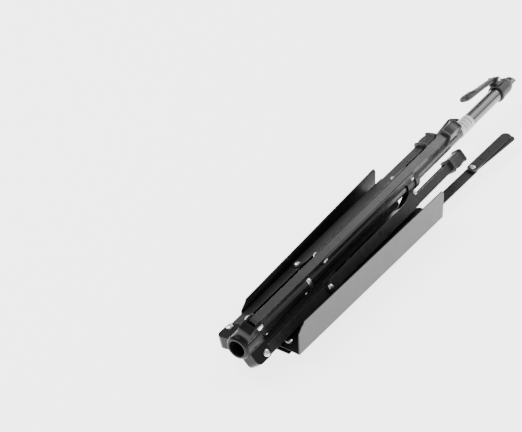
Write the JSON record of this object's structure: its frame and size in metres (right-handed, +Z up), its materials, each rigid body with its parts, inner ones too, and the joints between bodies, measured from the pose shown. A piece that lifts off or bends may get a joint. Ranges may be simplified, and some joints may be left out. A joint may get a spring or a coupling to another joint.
{
  "type": "folding music stand",
  "caption": "Portable music stand folded for carrying: a tripod base with clamp lever lying feet-up in its folded sheet-steel desk.",
  "frame": {"origin": "on the table, under the middle of the folded stand's box", "axes": "+Y along the folded stand from the leg hub to the clutch, +Z up"},
  "size_m": [0.0832, 0.551, 0.0651],
  "materials": {
    "black_steel": "satin black powder coat",
    "ledge_steel": "satin black powder coat",
    "black_plastic": "fine moulded grain",
    "rubber": "matt black rubber",
    "silver_tube": "drawn tube, satin",
    "zinc": "bright zinc plate",
    "white_band": "plain white film"
  },
  "bodies": {
    "desk": {"desk_spine": "black_steel", "right_tray_rivet": "zinc", "left_tray_rivet": "zinc", "tilt_clevis": "black_steel", "tilt_bolt": "zinc", "tilt_nut": "zinc"},
    "right_tray": {"right_tray": "ledge_steel", "right_arm_rivet": "zinc"},
    "left_tray": {"left_tray": "ledge_steel", "left_arm_rivet": "zinc"},
    "right_arm": {"right_arm": "black_steel", "right_finger_rivet": "zinc"},
    "left_arm": {"left_arm": "black_steel", "left_finger_rivet": "zinc"},
    "right_finger_outer": {"right_finger_lower": "black_steel"},
    "right_finger_inner": {"right_finger_upper": "black_steel"},
    "left_finger_outer": {"left_finger_lower": "black_steel"},
    "left_finger_inner": {"left_finger_upper": "black_steel"},
    "tripod": {"leg_hub": "black_steel", "lower_sleeve": "black_steel", "main_tube": "black_steel", "upper_tube": "silver_tube", "label_band": "white_band", "hub_rivet_1": "zinc", "hub_rivet_2": "zinc", "hub_rivet_3": "zinc", "sleeve_rivet_1": "zinc", "sleeve_rivet_2": "zinc", "sleeve_rivet_3": "zinc", "sleeve_rivet_4": "zinc", "clutch_body": "black_plastic", "clutch_pin": "zinc"},
    "collar": {"sliding_collar": "black_plastic", "collar_pin_1": "zinc", "collar_pin_2": "zinc", "collar_pin_3": "zinc"},
    "leg_1": {"leg_1": "black_steel", "foot_1": "rubber", "brace_rivet_1": "zinc"},
    "leg_2": {"leg_2": "black_steel", "foot_2": "rubber", "brace_rivet_2": "zinc"},
    "leg_3": {"leg_3": "black_steel", "foot_3": "rubber", "brace_rivet_3": "zinc"},
    "brace_1": {"brace_1": "black_steel"},
    "brace_2": {"brace_2": "black_steel"},
    "brace_3": {"brace_3": "black_steel"},
    "lever": {"clutch_lever": "black_plastic"},
    "inner_mast": {"inner_tube": "silver_tube"}
  },
  "joints": [
    {"name": "lift_out", "type": "slide", "parent": "desk", "child": "tripod", "axis": [0, 0, 1], "range_m": [0, 0.8]},
    {"name": "right_tray_fold", "type": "hinge", "parent": "desk", "child": "right_tray", "pos_m": [0.014, -0.2185, 0.0125], "axis": [0, 0, -1], "range_deg": [0, 88.12]},
    {"name": "right_arm_fold", "type": "hinge", "parent": "right_tray", "child": "right_arm", "pos_m": [0.02234, -0.0727, 0.0125], "axis": [0, 0, 1], "range_deg": [0, 75.02]},
    {"name": "right_outer_finger_fan", "type": "hinge", "parent": "right_arm", "child": "right_finger_outer", "pos_m": [0.02871, 0.1192, 0.0125], "axis": [0, 0, -1], "range_deg": [0, 37.02]},
    {"name": "right_inner_finger_fan", "type": "hinge", "parent": "right_arm", "child": "right_finger_inner", "pos_m": [0.02871, 0.1192, 0.0125], "axis": [0, 0, 1], "range_deg": [0, 37.02]},
    {"name": "left_tray_fold", "type": "hinge", "parent": "desk", "child": "left_tray", "pos_m": [-0.014, -0.2185, 0.0125], "axis": [0, 0, 1], "range_deg": [0, 88.12]},
    {"name": "left_arm_fold", "type": "hinge", "parent": "left_tray", "child": "left_arm", "pos_m": [-0.02234, -0.0727, 0.0125], "axis": [0, 0, -1], "range_deg": [0, 75.02]},
    {"name": "left_outer_finger_fan", "type": "hinge", "parent": "left_arm", "child": "left_finger_outer", "pos_m": [-0.02871, 0.1192, 0.0125], "axis": [0, 0, 1], "range_deg": [0, 37.02]},
    {"name": "left_inner_finger_fan", "type": "hinge", "parent": "left_arm", "child": "left_finger_inner", "pos_m": [-0.02871, 0.1192, 0.0125], "axis": [0, 0, -1], "range_deg": [0, 37.02]},
    {"name": "leg_1_fold", "type": "hinge", "parent": "tripod", "child": "leg_1", "pos_m": [0.00137, -0.2555, 0.05609], "axis": [0.9511, 0, -0.309], "range_deg": [0, 100.02]},
    {"name": "brace_1_fold", "type": "hinge", "parent": "leg_1", "child": "brace_1", "pos_m": [0.00137, -0.1425, 0.05609], "axis": [-0.9511, 0, 0.309], "range_deg": [0, 141.22]},
    {"name": "leg_2_fold", "type": "hinge", "parent": "tripod", "child": "leg_2", "pos_m": [-0.02515, -0.2555, 0.03222], "axis": [-0.2079, 0, 0.9781], "range_deg": [0, 100.02]},
    {"name": "brace_2_fold", "type": "hinge", "parent": "leg_2", "child": "brace_2", "pos_m": [-0.02515, -0.1425, 0.03222], "axis": [0.2079, 0, -0.9781], "range_deg": [0, 141.22]},
    {"name": "leg_3_fold", "type": "hinge", "parent": "tripod", "child": "leg_3", "pos_m": [0.00878, -0.2555, 0.02119], "axis": [-0.7431, 0, -0.6691], "range_deg": [0, 100.02]},
    {"name": "brace_3_fold", "type": "hinge", "parent": "leg_3", "child": "brace_3", "pos_m": [0.00878, -0.1425, 0.02119], "axis": [0.7431, 0, 0.6691], "range_deg": [0, 141.22]},
    {"name": "collar_slide", "type": "slide", "parent": "tripod", "child": "collar", "axis": [0, -1, 0], "range_m": [0, 0.18074]},
    {"name": "clutch_lever_turn", "type": "hinge", "parent": "tripod", "child": "lever", "pos_m": [-0.01181, 0.2445, 0.0493], "axis": [-0.8829, 0, -0.4695], "range_deg": [0, 80]},
    {"name": "mast_height", "type": "slide", "parent": "tripod", "child": "inner_mast", "axis": [0, 1, 0], "range_m": [0, 0.3]}
  ],
  "couplings": [
    {"joint": "right_tray_fold", "follows": "lift_out", "rad_per_m": 1.922},
    {"joint": "right_arm_fold", "follows": "lift_out", "rad_per_m": 1.6362},
    {"joint": "right_outer_finger_fan", "follows": "lift_out", "rad_per_m": 0.80722},
    {"joint": "right_inner_finger_fan", "follows": "lift_out", "rad_per_m": 0.80722},
    {"joint": "left_tray_fold", "follows": "lift_out", "rad_per_m": 1.922},
    {"joint": "left_arm_fold", "follows": "lift_out", "rad_per_m": 1.6362},
    {"joint": "left_outer_finger_fan", "follows": "lift_out", "rad_per_m": 0.80722},
    {"joint": "left_inner_finger_fan", "follows": "lift_out", "rad_per_m": 0.80722},
    {"joint": "leg_1_fold", "follows": "lift_out", "rad_per_m": 2.1817},
    {"joint": "brace_1_fold", "follows": "lift_out", "rad_per_m": 3.0804},
    {"joint": "leg_2_fold", "follows": "lift_out", "rad_per_m": 2.1817},
    {"joint": "brace_2_fold", "follows": "lift_out", "rad_per_m": 3.0804},
    {"joint": "leg_3_fold", "follows": "lift_out", "rad_per_m": 2.1817},
    {"joint": "brace_3_fold", "follows": "lift_out", "rad_per_m": 3.0804},
    {"joint": "collar_slide", "follows": "lift_out", "ratio": 0.22567}
  ]
}
